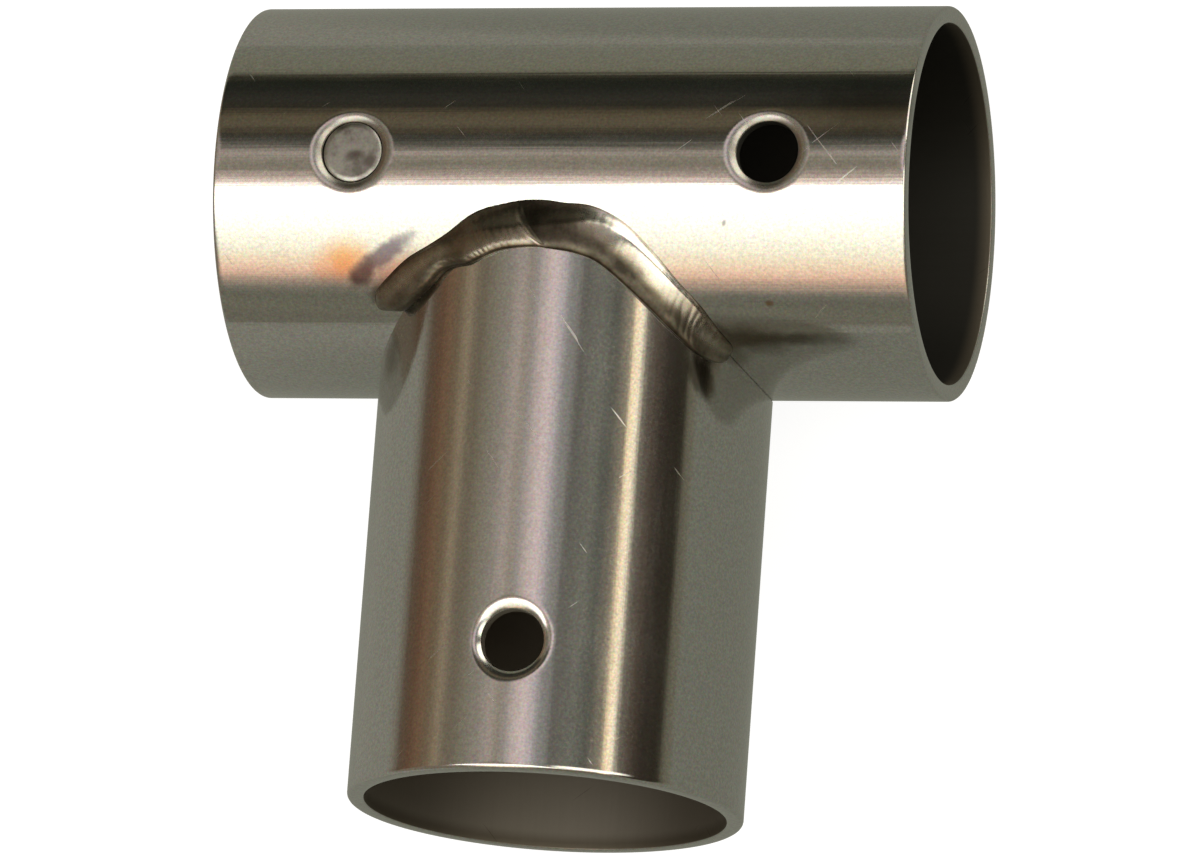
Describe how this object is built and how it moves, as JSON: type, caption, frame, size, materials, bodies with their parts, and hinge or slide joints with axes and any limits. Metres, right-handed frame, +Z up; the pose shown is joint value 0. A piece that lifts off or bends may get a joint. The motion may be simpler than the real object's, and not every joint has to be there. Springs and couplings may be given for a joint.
{
  "type": "tube clamp tee fitting",
  "caption": "Welded stainless tube tee: a coped branch sleeve on a run sleeve, rippled beads along the saddle, screw holes with rolled rims, and a flush plug in one of them.",
  "frame": {"origin": "Where the run's axis and the branch's axis cross.", "axes": "+X along the run, towards its longer arm; -Y out of the branch's mouth; +Z up, the side with the screw holes. The tee lies on its back."},
  "size_m": [0.05, 0.058, 0.0285],
  "materials": {
    "run_tube": "polished stainless tube with fine drawn lines, scratches and a little heat tint",
    "branch_tube": "polished stainless tube with fine drawn lines and scratches along it",
    "weld_bead": "bare weld metal, rippled, faintly tinted by heat",
    "plug_face": "dull flat steel with faint smudges"
  },
  "bodies": {
    "root": {"run_sleeve": "run_tube", "branch_sleeve": "branch_tube", "front_weld": "weld_bead", "back_weld": "weld_bead", "hole_plug": "plug_face"}
  },
  "joints": []
}
